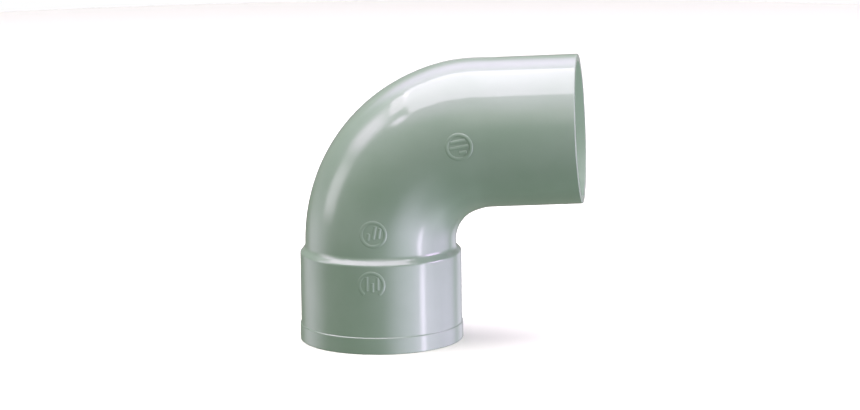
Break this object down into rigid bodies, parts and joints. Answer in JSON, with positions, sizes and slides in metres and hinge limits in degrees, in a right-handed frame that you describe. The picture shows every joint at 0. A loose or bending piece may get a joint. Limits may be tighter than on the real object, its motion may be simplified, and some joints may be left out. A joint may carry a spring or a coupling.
{
  "type": "pipe elbow fitting",
  "caption": "Grey PVC-U pipe elbow, 87.5 degrees, with a glue socket at one end and a plain spigot at the other, for nominal 63 mm pipe.",
  "frame": {"origin": "centre of the socket mouth, on the plane of its rim", "axes": "+Z from the mouth into the socket along its axis, +X to the side that the spigot leaves towards, the XZ plane is the plane of the bend"},
  "size_m": [0.1214, 0.0694, 0.122],
  "materials": {
    "pvc": "satin moulded PVC-U, light grey with a green cast",
    "pvc_mark": "the same PVC-U on the raised mould marks and witness lines"
  },
  "bodies": {
    "root": {"mouth_band": "pvc", "socket_sleeve": "pvc", "pipe_stop": "pvc", "shoulder": "pvc", "bend": "pvc", "spigot_root": "pvc", "spigot": "pvc", "spigot_rim": "pvc", "mark_socket": "pvc_mark", "mark_bend": "pvc_mark", "mark_spigot": "pvc_mark", "parting_line_heel": "pvc_mark", "parting_line_throat": "pvc_mark", "gate_vestige": "pvc_mark"}
  },
  "joints": []
}
